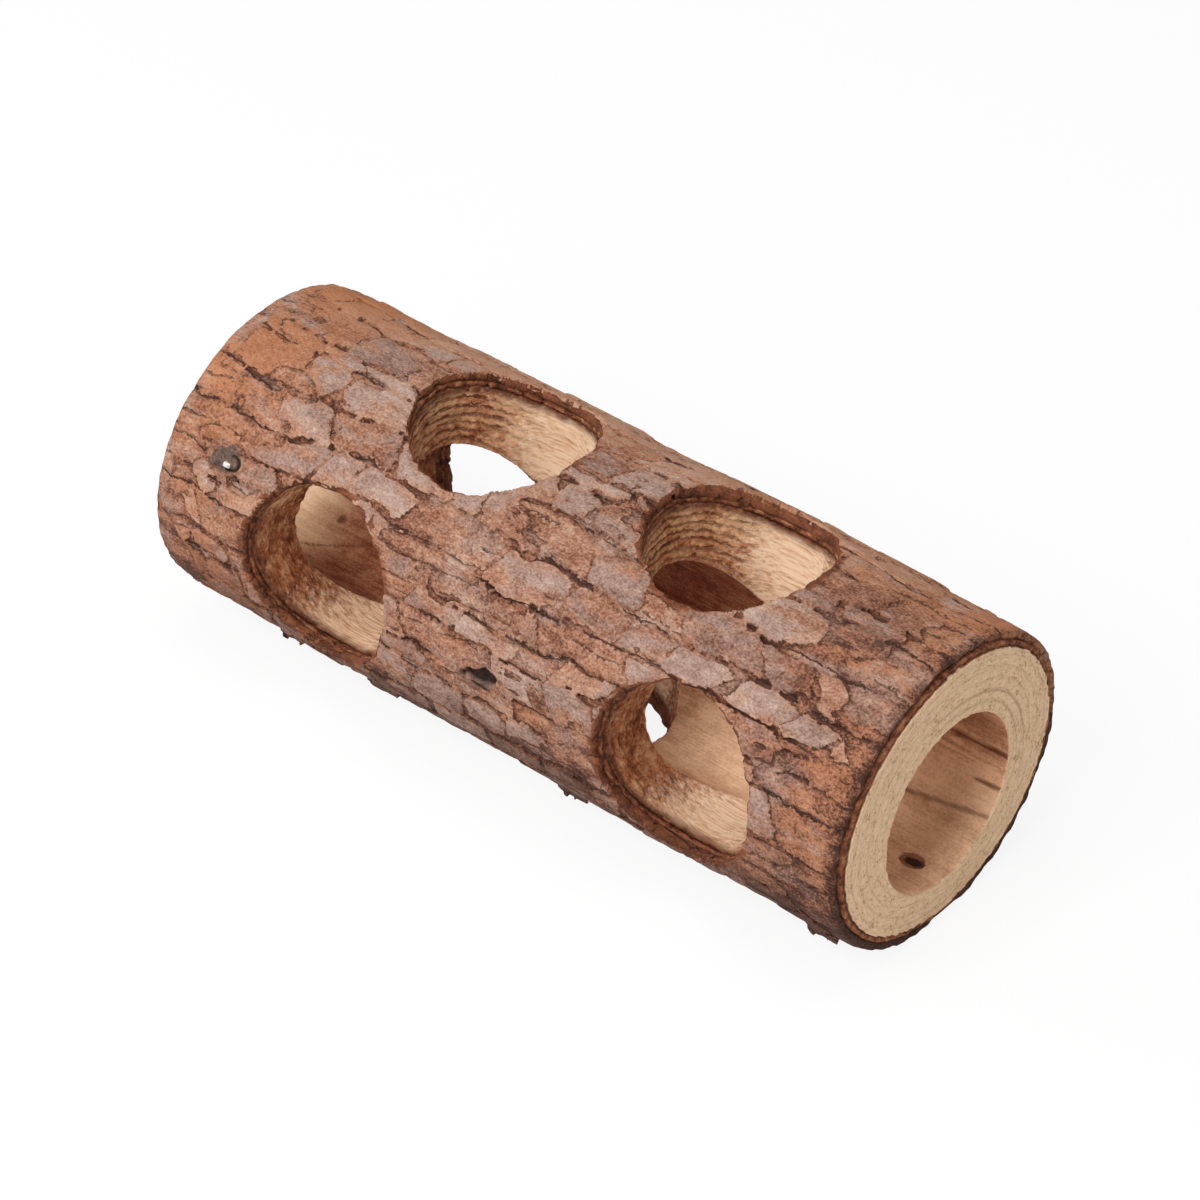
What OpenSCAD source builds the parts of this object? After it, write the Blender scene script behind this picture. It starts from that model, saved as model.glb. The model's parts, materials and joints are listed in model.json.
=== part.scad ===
// Log tunnel for a hamster: a bark-covered log, bored from end to end, with round holes drilled in from its sides.
// The log lies along X on a flattened strip under its bark, the middle of its length is over the origin, and
// its front is -Y. A turn is an angle about the log's length: 0 is straight up, 90 is the front, 180 is down.

/* [Log] */
// Length of the log between its sawn ends
log_len = 200; // [196:1:216]
// Width of the log over its bark scales
log_w = 82; // [80:0.5:86]
// Height of the log over its bark scales, before the underside is flattened
log_h = 77; // [76:0.5:80]
// Flats that make up the oval outline
outline_sides = 72; // [60:12:96]

/* [Bore] */
// Diameter of the bore from end to end
bore_d = 44.5; // [42:0.5:46]
// Height of the bore's axis above the surface that the log lies on
bore_h = 33.4; // [33:0.1:34]
// Drop of the bore's axis below the middle of the oval
bore_drop = 3.3; // [2.5:0.1:3.6]

/* [Side holes] */
// Diameter of the holes drilled in from the sides
side_hole_d = 43; // [38:0.5:43.5]
// Place of the left hole on top, along the log
top_left_x = -29; // [-34:1:-24]
// Turn of the left hole on top
top_left_turn = -2; // [-10:1:10]
// Place of the right hole on top, along the log
top_right_x = 38.3; // [33:0.1:43]
// Turn of the right hole on top
top_right_turn = -4.5; // [-10:0.5:10]
// Place of the left hole in front, along the log
front_left_x = -52; // [-57:1:-47]
// Turn of the left hole in front
front_left_turn = 78.5; // [72:0.5:90]
// Place of the right hole in front, along the log
front_right_x = 53.5; // [48:0.5:58]
// Turn of the right hole in front
front_right_turn = 79.5; // [72:0.5:90]
// Place of the left hole at the back, along the log
back_left_x = -57; // [-60:1:-52]
// Turn of the left hole at the back
back_left_turn = -98; // [-105:1:-85]
// Place of the right hole at the back, along the log
back_right_x = 56; // [54:1:60]
// Turn of the right hole at the back
back_right_turn = -98; // [-105:1:-85]
// Place of the hole underneath, along the log
under_x = 0; // [-6:1:6]
// Turn of the hole underneath
under_turn = 164; // [162:1:180]

/* [Bark] */
// Thickness of the inner bark
inner_bark_t = 1.2; // [0.8:0.1:1.6]
// Thickness of the outer bark under its scales
outer_bark_t = 2; // [1.6:0.1:2.4]
// How much wider than the wood a side hole is in the outer bark
bark_crumble = 0.8; // [0:0.1:1.5]
// How far the outer bark is broken back from each sawn end
rim_break = 1.6; // [0.8:0.1:3]

/* [Bark scales] */
// Thickness of a scale
scale_t = 0.8; // [0.5:0.1:1.2]
// Mean length of a scale along the log
scale_l = 14; // [11:0.5:18]
// Mean width of a scale around the log
scale_w = 8.5; // [7:0.5:11]
// Width of the fissures between scales
fissure_w = 1; // [0.8:0.1:2]
// Length of bark at the right end that has shed its scales
bare_len = 16; // [8:1:30]
// Choice of scatter for the scales
scatter_seed = 11; // [1:1:60]

/* [Knots] */
// Diameter of the knot with resin, where it meets the bark
resin_knot_d = 9; // [6:0.5:10]
// Diameter of the knot in the front, where it meets the bark
front_knot_d = 8; // [5:0.5:10]
// Diameter of the branch root in the floor of the bore
bore_knot_d = 5; // [3:0.5:6]
// Diameter of the drop of resin
resin_bead_d = 4.4; // [3:0.2:6]

/* [Hidden] */
round_fn = 96;
slack = 1;

// Heights and half sizes of the oval at each layer
oval_h = bore_h + bore_drop;
bark_size = [log_w / 2 - scale_t, log_h / 2 - scale_t];
bast_size = bark_size - [outer_bark_t, outer_bark_t];
wood_size = bast_size - [inner_bark_t, inner_bark_t];
bore_r = bore_d / 2;
side_hole_r = side_hole_d / 2;

// Each side hole as its place along the log and its turn
side_holes = [
    [top_left_x, top_left_turn], [top_right_x, top_right_turn],
    [front_left_x, front_left_turn], [front_right_x, front_right_turn],
    [back_left_x, back_left_turn], [back_right_x, back_right_turn],
    [under_x, under_turn]
];

// Knots as place along the log, turn and outer diameter
resin_spot = [-83, 55.5, resin_knot_d];
front_spot = [-1, 83, front_knot_d];
knot_root = 29;
knot_taper = 0.6;
knot_rise = 0.4;
knot_recess = 0.9;

// The branch root slopes down through the floor of the bore, away from the right end
bore_knot_x = 91.5;
bore_knot_slope = 38;

// Lifted flakes as place along the log, turn, length, width and lift of the free edge
flakes = [
    [89, 133, 10, 6, 1.6], [17, 134, 8, 5, 1.4], [-40, 132, 8, 5, 1.4], [-69, 133, 7, 5, 1.2],
    [94, -107, 8, 5, 1]
];
flake_t = 0.7;

// The scales' cells: columns run round the log, rows run along it
corner_count = 7;
corner_square = 0.5;
corner_jitter = 0.16;
edge_bevel = 0.9;
small_share = 0.62;
size_jitter = 0.05;
place_jitter = 0.3;
seat_gap = 0.05;
bark_round = PI * (bark_size.x + bark_size.y);
columns = floor(bark_round / (scale_w + fissure_w));
scaled_len = log_len - bare_len - 2 * rim_break;
rows = floor(scaled_len / (scale_l + fissure_w));
pitch = [scaled_len / rows, bark_round / columns];
draws_per_cell = corner_count + 4;
draws = rands(-1, 1, columns * rows * draws_per_cell, scatter_seed);
flake_draws = rands(-1, 1, len(flakes) * corner_count, scatter_seed + 1);
hole_margin = bark_crumble + 0.8;
floor_margin = 0.2;

// A point of the bark's surface, raised by h
function bark_point(x, turn, h) = [
    x,
    -(bark_size.x + h) * sin(turn),
    oval_h + (bark_size.y + h) * cos(turn)
];

// Distance from a point to the edge of a side hole, large on the hole's far side
function hole_gap(p, hole) =
    let(
        rise = p.z - bore_h,
        across = p.y * cos(hole[1]) + rise * sin(hole[1]),
        along = rise * cos(hole[1]) - p.y * sin(hole[1])
    )
    along < 0 ? log_len : norm([p.x - hole[0], across]) - side_hole_r;

// Distance from a point to a spot on the bark, given as its place along the log and its turn
function spot_gap(p, spot, h) = norm(p - bark_point(spot[0], spot[1], h));

// Sine or cosine drawn towards the corners of a square
function squared(v) = sign(v) * pow(abs(v), corner_square);

// Rim of a flat scale as steps along the log and round it, in mm from its middle
function rim(l, w, jitter) = [
    for (k = [0:corner_count - 1])
        let(
            a = 360 * (k + 0.5 * jitter[k]) / corner_count,
            reach = 1 - corner_jitter * abs(jitter[k])
        )
        [l / 2 * squared(cos(a)) * reach, w / 2 * squared(sin(a)) * reach]
];

// Degrees of turn for a step round the bark
function turn_of(step) = 360 * step / bark_round;

// The rim on the bark, drawn in by a share and raised by h, with the far edge raised by lift more
function rim_on_bark(x, turn, w, outline, share, h, lift) = [
    for (p = outline)
        bark_point(x + share * p.x, turn + turn_of(share * p.y), h + lift * (0.5 + p.y / w))
];

// One scale as its place, its size and its rim
function scale_cell(i, j) =
    let(
        start = (j * rows + i) * draws_per_cell,
        stagger = (j % 2) / 2 - 0.25,
        l = (pitch.x - fissure_w) * (1 + size_jitter * draws[start]),
        w = (pitch.y - fissure_w) * (1 + size_jitter * draws[start + 1]),
        x = -log_len / 2 + rim_break + pitch.x * (i + 0.5 + stagger) + place_jitter * draws[start + 2],
        turn = 360 * (j + 0.5) / columns + turn_of(place_jitter * draws[start + 3]),
        jitter = [for (k = [0:corner_count - 1]) draws[start + 4 + k]]
    )
    [x, turn > 180 ? turn - 360 : turn, w, rim(l, w, jitter)];

// A scale stays where all its corners are clear of the holes, the knots, the flakes, the ends and the floor
function scale_stays(cell) =
    let(
        edge = rim_on_bark(cell[0], cell[1], cell[2], cell[3], 1, scale_t, 0),
        gaps = [for (p = edge, hole = side_holes) hole_gap(p, hole)],
        knots = [for (p = edge, s = [resin_spot, front_spot]) spot_gap(p, s, scale_t) - s[2] / 2],
        lifted = [for (p = edge, f = flakes) spot_gap(p, f, scale_t) - f[2] / 2],
        ends = [for (p = edge) abs(p.x)],
        heights = [for (p = edge) p.z]
    )
    min(gaps) > hole_margin && min(knots) > fissure_w && min(lifted) > fissure_w
    && max(ends) < log_len / 2 - rim_break && min(heights) > floor_margin;

// The same scale, broken down to a smaller one
function broken(cell) = [
    cell[0], cell[1], small_share * cell[2], [for (p = cell[3]) small_share * p]
];

scales = [
    for (j = [0:columns - 1], i = [0:rows - 1])
        let(cell = scale_cell(i, j), fitted = scale_stays(cell) ? cell : broken(cell))
        if (scale_stays(fitted)) fitted
];

// Straight length of oval, centred on the origin's X
module oval_length(size, length)
    translate([-length / 2, 0, oval_h])
        rotate([90, 0, 90])
            linear_extrude(length)
                polygon([
                    for (k = [0:outline_sides - 1])
                        let(a = 360 * k / outline_sides)
                        [size.x * sin(a), size.y * cos(a)]
                ]);

module bore()
    translate([0, 0, bore_h])
        rotate([0, 90, 0])
            cylinder(h = log_len + 2 * slack, r = bore_r, center = true, $fn = round_fn);

// Every side hole, from the bore's axis out through the bark
module side_hole_tools(extra)
    for (hole = side_holes)
        translate([hole[0], 0, bore_h])
            rotate([hole[1], 0, 0])
                cylinder(h = log_w, r = side_hole_r + extra, $fn = round_fn);

// Distance from the oval's middle to the bark's surface at a turn
function bark_reach(turn) = norm([bark_size.x * sin(turn), bark_size.y * cos(turn)]);

// A branch stub that widens from its root in the wood to height rise over the bark
module stub(spot, rise) {
    reach = bark_reach(spot[1]) + rise - knot_root;
    translate([spot[0], 0, oval_h])
        rotate([spot[1], 0, 0])
            translate([0, 0, knot_root])
                cylinder(h = reach, r1 = knot_taper * spot[2] / 2, r2 = spot[2] / 2, $fn = round_fn);
}

module stub_tools() {
    stub(resin_spot, knot_rise);
    stub(front_spot, knot_rise);
}

// The sloping branch root, longer than the floor of the bore is thick
module bore_knot_tool()
    translate([bore_knot_x, 0, bore_h - bore_r])
        rotate([0, bore_knot_slope, 0])
            cylinder(h = log_h, d = bore_knot_d, center = true, $fn = round_fn);

// One thin scale on the bark, fanned round a middle point on each face
module scale_on_bark(x, turn, w, outline, thick, lift) {
    n = len(outline);
    low = rim_on_bark(x, turn, w, outline, 1, seat_gap, lift);
    high = rim_on_bark(x, turn, w, outline, edge_bevel, seat_gap + thick, lift);
    mid_low = bark_point(x, turn, seat_gap + lift / 2);
    mid_high = bark_point(x, turn, seat_gap + thick + lift / 2);
    polyhedron(
        points = concat(low, high, [mid_low, mid_high]),
        faces = [
            for (k = [0:n - 1])
                let(m = (k + 1) % n)
                each [[2 * n, m, k], [2 * n + 1, n + k, n + m], [n + m, n + k, k], [n + m, k, m]]
        ]
    );
}

// The scales whose middles lie between two turns
module scale_group(from, to)
    for (s = scales)
        if (s[1] >= from && s[1] < to)
            scale_on_bark(s[0], s[1], s[2], s[3], scale_t - seat_gap, 0);

module wood_tube() color("burlywood")
    difference() {
        oval_length(wood_size, log_len);
        bore();
        side_hole_tools(0);
        stub_tools();
        bore_knot_tool();
    }

module inner_bark() color("sienna")
    difference() {
        oval_length(bast_size, log_len - rim_break);
        oval_length(wood_size, log_len + 2 * slack);
        side_hole_tools(bark_crumble / 2);
        stub_tools();
    }

module outer_bark() color("rosybrown")
    difference() {
        oval_length(bark_size, log_len - 2 * rim_break);
        oval_length(bast_size, log_len + 2 * slack);
        side_hole_tools(bark_crumble);
        stub_tools();
        translate([0, 0, -log_h / 2])
            cube([log_len + 2 * slack, log_w, log_h], center = true);
    }

module bark_scales_top() color("thistle") scale_group(-45, 45);
module bark_scales_front() color("thistle") scale_group(45, 120);
module bark_scales_back() color("thistle") scale_group(-120, -45);
module bark_scales_underside() color("thistle") {
    scale_group(120, 180);
    scale_group(-180, -120);
}

// Puts something on the sunk end of the resin knot
module on_resin_knot()
    translate([resin_spot[0], 0, oval_h])
        rotate([resin_spot[1], 0, 0])
            translate([0, 0, bark_reach(resin_spot[1]) + knot_rise - knot_recess])
                children();

// The dead stub's end is sunk below the bark, in a shallow dish that holds the resin
module resin_knot() color("dimgray")
    difference() {
        stub(resin_spot, knot_rise);
        on_resin_knot()
            cylinder(h = knot_recess + slack, r = resin_spot[2], $fn = round_fn);
    }

module resin_bead() color("lightgray")
    on_resin_knot()
        intersection() {
            sphere(d = resin_bead_d, $fn = round_fn);
            translate([0, 0, resin_bead_d])
                cube(2 * resin_bead_d, center = true);
        }

module front_knot() color("saddlebrown") stub(front_spot, knot_rise);

module bore_knot() color("saddlebrown")
    difference() {
        intersection() {
            bore_knot_tool();
            oval_length(wood_size, log_len);
            translate([0, 0, bore_h - log_h / 2])
                cube([2 * log_len, log_w, log_h], center = true);
        }
        bore();
    }

module loose_flakes() color("saddlebrown")
    for (f = [0:len(flakes) - 1])
        let(
            flake = flakes[f],
            jitter = [for (k = [0:corner_count - 1]) flake_draws[f * corner_count + k]]
        )
        scale_on_bark(
            flake[0], flake[1], flake[3], rim(flake[2], flake[3], jitter), flake_t, flake[4]
        );

wood_tube();
inner_bark();
outer_bark();
bark_scales_top();
bark_scales_front();
bark_scales_back();
bark_scales_underside();
resin_knot();
resin_bead();
front_knot();
bore_knot();
loose_flakes();
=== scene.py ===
import itertools
import json
import math

import bpy
import numpy as np
from mathutils import Matrix, Vector


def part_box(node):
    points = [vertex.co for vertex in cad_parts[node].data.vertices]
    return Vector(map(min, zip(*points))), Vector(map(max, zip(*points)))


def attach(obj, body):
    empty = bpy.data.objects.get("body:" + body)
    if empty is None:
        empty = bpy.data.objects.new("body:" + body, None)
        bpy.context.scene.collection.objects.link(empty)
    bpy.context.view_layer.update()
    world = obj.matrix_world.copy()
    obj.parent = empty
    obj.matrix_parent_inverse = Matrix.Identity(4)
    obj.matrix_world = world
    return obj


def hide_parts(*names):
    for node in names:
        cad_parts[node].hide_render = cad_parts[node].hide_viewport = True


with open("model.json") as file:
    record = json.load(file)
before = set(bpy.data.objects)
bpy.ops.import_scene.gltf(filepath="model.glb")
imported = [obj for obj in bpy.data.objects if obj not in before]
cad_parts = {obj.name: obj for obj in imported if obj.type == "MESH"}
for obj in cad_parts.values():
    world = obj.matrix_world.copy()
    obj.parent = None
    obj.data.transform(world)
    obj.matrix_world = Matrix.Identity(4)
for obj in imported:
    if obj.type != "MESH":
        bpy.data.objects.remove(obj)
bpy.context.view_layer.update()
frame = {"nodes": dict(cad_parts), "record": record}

mm = 0.001

# The log's own sizes, in mm, read from the frame
boreMount = next(m for m in frame["record"]["mounts"] if m["name"] == "tunnel_bore")
boreHeight = boreMount["pos_m"][2] / mm
boreRadius = boreMount["dims"]["r_mm"]
woodLow, woodHigh = (np.array(corner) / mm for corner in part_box("wood_tube"))
barkHigh = np.array(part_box("outer_bark")[1]) / mm
logHalf = woodHigh[0]
ovalHeight = (woodLow[2] + woodHigh[2]) / 2
woodHalf = (woodHigh[1:] - woodLow[1:]) / 2
barkHalf = np.array([barkHigh[1], barkHigh[2] - ovalHeight])
barkRound = barkHalf.mean()
woodRound = woodHalf.mean()

# Side holes: place along the log in mm, and turn in degrees from the top towards the front
holes = {
    "radius": 21.5,
    "places": [(-29, -2), (38.3, -4.5), (-52, 78.5), (53.5, 79.5), (-57, -98), (56, -98), (0, 164)],
}


# Small helpers
def selectOnly(piece):
    bpy.ops.object.select_all(action="DESELECT")
    piece.select_set(True)
    bpy.context.view_layer.objects.active = piece


def readPoints(piece):
    flat = np.empty(len(piece.data.vertices) * 3)
    piece.data.vertices.foreach_get("co", flat)
    return flat.reshape(-1, 3) / mm


def movePoints(piece, places):
    piece.data.vertices.foreach_set("co", (np.asarray(places) * mm).ravel())
    piece.data.update()


def writeValues(piece, **values):
    for name, numbers in values.items():
        layer = piece.data.attributes.get(name) or piece.data.attributes.new(name, "FLOAT", "POINT")
        layer.data.foreach_set("value", np.asarray(numbers, dtype=np.float32))


def readValues(piece, *names):
    found = []
    for name in names:
        values = np.empty(len(piece.data.vertices), dtype=np.float32)
        piece.data.attributes[name].data.foreach_get("value", values)
        found.append(values.astype(float))
    return found


def applyModifier(piece, kind, **settings):
    selectOnly(piece)
    added = piece.modifiers.new(kind.lower(), kind)
    for name, value in settings.items():
        setattr(added, name, value)
    bpy.ops.object.modifier_apply(modifier=added.name)


def editMesh(piece, *steps):
    selectOnly(piece)
    bpy.ops.object.mode_set(mode="EDIT")
    for step in steps:
        step()
    bpy.ops.object.mode_set(mode="OBJECT")


def mergeDoubles(piece, distance=0.00002):
    editMesh(
        piece,
        lambda: bpy.ops.mesh.select_all(action="SELECT"),
        lambda: bpy.ops.mesh.remove_doubles(threshold=distance),
    )


# Deletes the faces that have a corner past an edge
def cutAway(piece, gap):
    mesh = piece.data
    corners = np.empty(len(mesh.loops), dtype=np.int64)
    mesh.loops.foreach_get("vertex_index", corners)
    starts = np.empty(len(mesh.polygons), dtype=np.int64)
    mesh.polygons.foreach_get("loop_start", starts)
    chosen = np.minimum.reduceat(gap[corners], starts) < -0.001
    mesh.vertices.foreach_set("select", np.zeros(len(mesh.vertices), dtype=bool))
    mesh.edges.foreach_set("select", np.zeros(len(mesh.edges), dtype=bool))
    mesh.polygons.foreach_set("select", chosen)
    bpy.context.tool_settings.mesh_select_mode = (False, False, True)
    editMesh(piece, lambda: bpy.ops.mesh.delete(type="FACE"))
    bpy.context.tool_settings.mesh_select_mode = (True, False, False)


# Gives a sheet a thickness, inwards
def thicken(piece, thick, **settings):
    applyModifier(piece, "SOLIDIFY", thickness=thick * mm, offset=-1, use_rim=True, **settings)


# A copy of a node's solid, to shape further
def copyNode(name, node):
    piece = bpy.data.objects.new(name, frame["nodes"][node].data.copy())
    bpy.context.collection.objects.link(piece)
    mergeDoubles(piece, 0.000005)
    return piece


# A flat grid from -1 to 1, and its points
def makeGrid(name, columns, rows):
    bpy.ops.mesh.primitive_grid_add(x_subdivisions=columns, y_subdivisions=rows, size=2, location=(0, 0, 0))
    piece = bpy.context.object
    piece.name = name
    return piece, readPoints(piece) * mm


def countTriangles(piece):
    return sum(len(face.vertices) - 2 for face in piece.data.polygons)


def finishPiece(piece, material, nodes, smoothAngle=None):
    selectOnly(piece)
    if smoothAngle is None:
        bpy.ops.object.shade_smooth()
    else:
        bpy.ops.object.shade_smooth_by_angle(angle=math.radians(smoothAngle))
    piece.data.materials.clear()
    piece.data.materials.append(material)
    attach(piece, "root")
    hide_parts(*nodes)
    print(piece.name, "has", countTriangles(piece), "triangles")


# Seeded noise in mm, from -1 to 1
def scatter(i, j, k, seed):
    mixed = (i * 73856093) ^ (j * 19349663) ^ (k * 83492791) ^ (seed * 265443576)
    mixed = ((mixed ^ (mixed >> 13)) * 1274126177) & 0xFFFFFFFF
    mixed = ((mixed ^ (mixed >> 15)) * 668265263) & 0xFFFFFFFF
    return ((mixed ^ (mixed >> 16)) & 0xFFFF) / 32768.0 - 1


def softNoise(places, size, seed):
    scaled = places / np.asarray(size, dtype=float)
    base = np.floor(scaled).astype(np.int64)
    part = scaled - base
    part = part * part * (3 - 2 * part)
    total = np.zeros(len(places))
    for corner in itertools.product((0, 1), repeat=3):
        weight = np.ones(len(places))
        for axis in range(3):
            weight = weight * (part[:, axis] if corner[axis] else 1 - part[:, axis])
        cell = base + corner
        total += weight * scatter(cell[:, 0], cell[:, 1], cell[:, 2], seed)
    return total


def roughNoise(places, size, seed, layers=3):
    total = np.zeros(len(places))
    for layer in range(layers):
        total += softNoise(places, np.asarray(size, dtype=float) / 2**layer, seed + 11 * layer) / 2**layer
    return total


def smoothStep(values, low, high):
    part = np.clip((values - low) / (high - low), 0, 1)
    return part * part * (3 - 2 * part)


# 1 near a middle value and 0 far from it
def nearTo(values, middle, far, close):
    return smoothStep(-np.abs(values - middle), -far, -close)


# The log's surface: x along the log, turn in radians from the top towards the front
def wrapRound(x, turn, lift=0, half=barkHalf):
    return np.stack(
        [x, -(half[0] + lift) * np.sin(turn), ovalHeight + (half[1] + lift) * np.cos(turn)], axis=1
    )


def turnOf(places, half=barkHalf):
    return np.arctan2(-places[:, 1] / half[0], (places[:, 2] - ovalHeight) / half[1])


def holeFrame(places, hole):
    along, turn = hole[0], math.radians(hole[1])
    rise = places[:, 2] - boreHeight
    across = places[:, 1] * math.cos(turn) + rise * math.sin(turn)
    outward = rise * math.cos(turn) - places[:, 1] * math.sin(turn)
    return places[:, 0] - along, across, outward


def holeGap(places, radius):
    gap = np.full(len(places), 100.0)
    for hole in holes["places"]:
        shift, across, outward = holeFrame(places, hole)
        away = np.hypot(shift, across) - radius
        gap = np.where(outward > 0, np.minimum(gap, away), gap)
    return gap


# Moves points away from a hole's axis, by a share of their distance from it
def moveFromHole(places, hole, shift, across, grow):
    turn = math.radians(hole[1])
    places[:, 0] += shift * grow
    places[:, 1] += across * grow * math.cos(turn)
    places[:, 2] += across * grow * math.sin(turn)


def clearHoles(places, radius):
    for hole in holes["places"]:
        shift, across, outward = holeFrame(places, hole)
        away = np.hypot(shift, across)
        grow = np.where((outward > 0) & (away < radius), radius / np.maximum(away, 0.01), 1) - 1
        moveFromHole(places, hole, shift, across, grow)
    return places


# Strips of bark along the log, broken across: the way in from a piece's edge, and its own numbers
def barkStrips(x, turn, strips):
    places = wrapRound(x, turn)
    seed = strips["seed"]
    along = x + 1.5 * softNoise(places, 9, seed) + 0.5 * softNoise(places, 2.8, seed + 1)
    around = turn * barkRound + strips["sway"] * softNoise(places, (42, 17, 17), seed + 2)
    around = around + strips["waver"] * softNoise(places, 7, seed + 3)
    around = around + 0.35 * softNoise(places, 2.2, seed + 4)
    count = strips["columns"]
    pitch = 2 * math.pi * barkRound / count
    spread = around / pitch

    def edgeAt(index):
        return index + 0.3 * scatter(index % count, 9, 1, seed)

    column = np.floor(spread).astype(np.int64)
    column = np.where(spread < edgeAt(column), column - 1, column)
    column = np.where(spread >= edgeAt(column + 1), column + 1, column)
    stripWide = (edgeAt(column + 1) - edgeAt(column)) * pitch
    part = (spread - edgeAt(column)) * pitch / stripWide
    strip = column % count
    lean = 0.5 * scatter(strip, 3, 1, seed) * (part - 0.5) * pitch
    spot = (along + lean) / strips["along"] + scatter(strip, 4, 1, seed)
    row = np.floor(spot).astype(np.int64)

    def breakAt(index):
        return index + 0.32 * scatter(index, strip, 2, seed)

    row = np.where(spot < breakAt(row), row - 1, row)
    row = np.where(spot >= breakAt(row + 1), row + 1, row)
    below, above = (spot - breakAt(row)) * strips["along"], (breakAt(row + 1) - spot) * strips["along"]
    side = stripWide * (0.5 - np.abs(part - 0.5))
    tip = np.minimum(below, above)
    wide = np.maximum(softNoise(places, (16, 7, 7), seed + 5) + 0.35, 0)
    sideIn = side - strips["sideGap"] * (0.35 + wide)
    tipWide = scatter(row + (above < below), strip, 6, seed)
    tipIn = tip - strips["tipGap"] * np.maximum(tipWide, -0.1)
    corner = strips["corner"]
    rounded = corner - np.hypot(np.maximum(corner - sideIn, 0), np.maximum(corner - tipIn, 0))
    inside = np.where((sideIn < corner) & (tipIn < corner), rounded, np.minimum(sideIn, tipIn))
    inside = inside - strips["ragged"] * roughNoise(places, 1.9, seed + 6, 2)
    numbers = [scatter(row, strip, 7 + k, seed) / 2 + 0.5 for k in range(4)]
    sideWave = (1 - 2 * (column % 2)) * np.sin(math.pi * part) * stripWide / math.pi
    tipWave = (1 - 2 * (row % 2)) * np.sin(math.pi * below / (below + above)) * (below + above) / math.pi
    middleTurn = turn + (0.5 - part) * stripWide / barkRound
    return {
        "inside": inside, "side": side, "tip": tip, "numbers": numbers, "turn": middleTurn,
        "column": column, "sideWave": sideWave, "tipWave": tipWave,
    }


print("helpers ready")


# Node materials
def paint(red, green, blue):
    linear = []
    for level in (red, green, blue):
        part = level / 255
        linear.append(part / 12.92 if part <= 0.04045 else ((part + 0.055) / 1.055) ** 2.4)
    return (*linear, 1.0)


# A new node, whose inputs get another node's socket, an attribute's name, a colour, a vector or a number
def addNode(tree, kind, inputs, **settings):
    node = tree.nodes.new("ShaderNode" + kind)
    for name, value in settings.items():
        setattr(node, name, value)
    for key, value in inputs.items():
        socket = node.inputs[key]
        if isinstance(value, str):
            value = addNode(tree, "Attribute", {}, attribute_name=value).outputs["Fac"]
        if isinstance(value, bpy.types.NodeSocket):
            tree.links.new(value, socket)
        else:
            socket.default_value = paint(*value) if socket.type == "RGBA" else value
    return node


class Look:
    def __init__(self, name, roughness, specular=0.25, coat=0.0):
        self.material = bpy.data.materials.new(name)
        self.material.use_nodes = True
        self.tree = self.material.node_tree
        self.tree.nodes.clear()
        shine = {"Roughness": roughness, "Specular IOR Level": specular, "Coat Weight": coat}
        self.shader = self.node("BsdfPrincipled", shine)
        self.output = self.node("OutputMaterial", {"Surface": self.shader.outputs["BSDF"]})
        self.place = self.node("TexCoord", {}).outputs["Object"]

    def node(self, kind, inputs, **settings):
        return addNode(self.tree, kind, inputs, **settings)

    def math(self, operation, first, second=0.0, clamp=False, third=0.0):
        inputs = {0: first, 1: second, 2: third}
        return self.node("Math", inputs, operation=operation, use_clamp=clamp).outputs[0]

    def times(self, first, second, clamp=False):
        return self.math("MULTIPLY", first, second, clamp)

    def noise(self, source, detail, roughness):
        inputs = {"Vector": source, "Scale": 1.0, "Detail": detail, "Roughness": roughness}
        return self.node("TexNoise", inputs).outputs["Fac"]

    # Noise with its own scale along, across and up
    def grain(self, scale, detail, roughness=0.55, turn=(0, 0, 0)):
        inputs = {"Vector": self.place, "Scale": scale, "Rotation": turn}
        return self.noise(self.node("Mapping", inputs).outputs["Vector"], detail, roughness)

    def speckles(self, scale, detail, roughness):
        return self.level(self.grain(scale, detail, roughness), 0.34, 0.66)

    def blend(self, *shares):
        total = 0.0
        for source, share in shares:
            total = self.math("MULTIPLY_ADD", source, share, third=total)
        return total

    def ramp(self, factor, colours, *stops):
        node = self.node("ValToRGB", {"Fac": factor})
        ends = node.color_ramp.elements
        while len(ends) < len(stops):
            ends.new(0.5)
        for end, (position, name) in zip(ends, stops):
            end.position = position
            end.color = paint(*colours[name])
        return node.outputs["Color"]

    def level(self, factor, low, high):
        inputs = {"Value": factor, "From Min": low, "From Max": high}
        return self.node("MapRange", inputs).outputs["Result"]

    def mix(self, factor, first, second):
        return self.node("Mix", {0: factor, 6: first, 7: second}, data_type="RGBA").outputs[2]

    def split(self, source):
        return tuple(self.node("SeparateXYZ", {0: source}).outputs)

    def join(self, x, y, z):
        return self.node("CombineXYZ", {0: x, 1: y, 2: z}).outputs["Vector"]

    def bump(self, height, distance, strength, before=None):
        inputs = {"Strength": strength, "Distance": distance, "Height": height}
        if before is not None:
            inputs["Normal"] = before
        return self.node("Bump", inputs).outputs["Normal"]

    def done(self, colour, normal):
        self.tree.links.new(colour, self.shader.inputs["Base Color"])
        self.tree.links.new(normal, self.shader.inputs["Normal"])
        return self.material


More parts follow.
